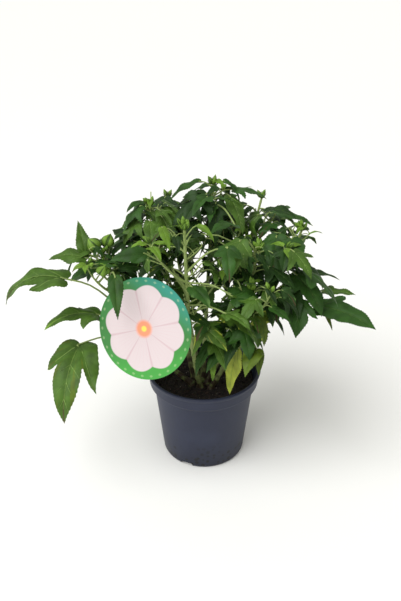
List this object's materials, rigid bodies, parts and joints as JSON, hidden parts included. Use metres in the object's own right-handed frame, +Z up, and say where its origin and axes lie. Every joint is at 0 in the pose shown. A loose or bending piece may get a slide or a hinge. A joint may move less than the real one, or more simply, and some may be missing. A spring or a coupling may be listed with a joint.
{
  "type": "potted hibiscus shrub",
  "caption": "Leafy hibiscus shrub with flower buds on green canes, in a round tapered nursery pot of soil, with a round flower label on a thin stick.",
  "frame": {"origin": "centre of the pot's flat underside, on the surface that the pot stands on", "axes": "+Z up along the pot's axis; -Y towards the viewer of the picture; +X to that viewer's right"},
  "size_m": [0.5536, 0.36, 0.4844],
  "materials": {
    "pot": "moulded dark slate grey polypropylene, satin",
    "soil": "moist dark peat with a few pale grains",
    "cane": "smooth green stem, browner at its foot",
    "foliage": "soft green leaves, satin on top and paler below",
    "label": "printed card under film",
    "stick": "thin green plastic stick"
  },
  "bodies": {
    "root": {"pot": "pot", "potting_soil": "soil", "plant_label": "label", "label_stick": "stick", "cane_left": "cane", "cane_front": "cane", "cane_upper_left": "cane", "cane_top": "cane", "cane_right": "cane", "cane_back_right": "cane", "cane_back_left": "cane", "cane_inner_right": "cane", "cane_low_right": "cane", "foliage_left": "foliage", "foliage_front": "foliage", "foliage_upper_left": "foliage", "foliage_top": "foliage", "foliage_right": "foliage", "foliage_back_right": "foliage", "foliage_back_left": "foliage", "foliage_inner_right": "foliage", "foliage_low_right": "foliage"}
  },
  "joints": []
}
